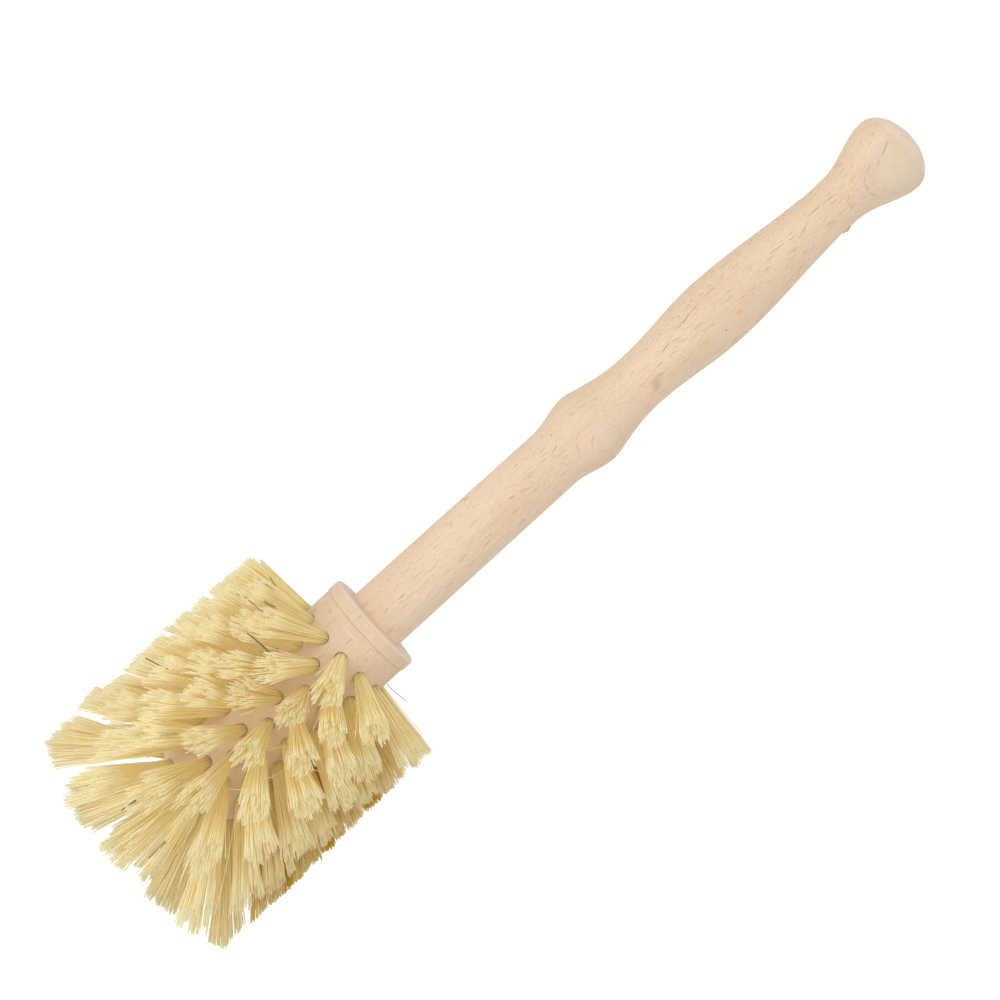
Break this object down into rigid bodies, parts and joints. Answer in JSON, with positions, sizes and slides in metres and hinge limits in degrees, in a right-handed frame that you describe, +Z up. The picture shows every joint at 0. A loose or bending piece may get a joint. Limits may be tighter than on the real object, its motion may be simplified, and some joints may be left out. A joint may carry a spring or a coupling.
{
  "type": "food processor brush",
  "caption": "Turned beech brush with a shaped grip and a round head of staggered plant fibre tufts over the block's side and nose, for scrubbing bowls and jugs.",
  "frame": {"origin": "middle of the bounding box's bottom face, on the table that the brush lies on", "axes": "+X along the brush from its bristles to the end of its handle, +Z up from the table, +Y to the left of someone looking from the bristles to the handle"},
  "size_m": [0.2694, 0.0684, 0.0739],
  "materials": {
    "beech_handle": "bare sanded beech, matte, with short dark ray flecks along the grain",
    "beech_block": "bare turned beech, matte",
    "plant_fibre": "stiff cream yellow plant fibre, slightly glossy, cut ends"
  },
  "bodies": {
    "root": {"handle": "beech_handle", "head_block": "beech_block", "tuft_ring_1": "plant_fibre", "tuft_ring_2": "plant_fibre", "tuft_ring_3": "plant_fibre", "tuft_ring_4": "plant_fibre", "tuft_ring_5": "plant_fibre", "tuft_ring_6": "plant_fibre", "tuft_ring_7": "plant_fibre", "tuft_ring_8": "plant_fibre", "tuft_nose": "plant_fibre"}
  },
  "joints": []
}
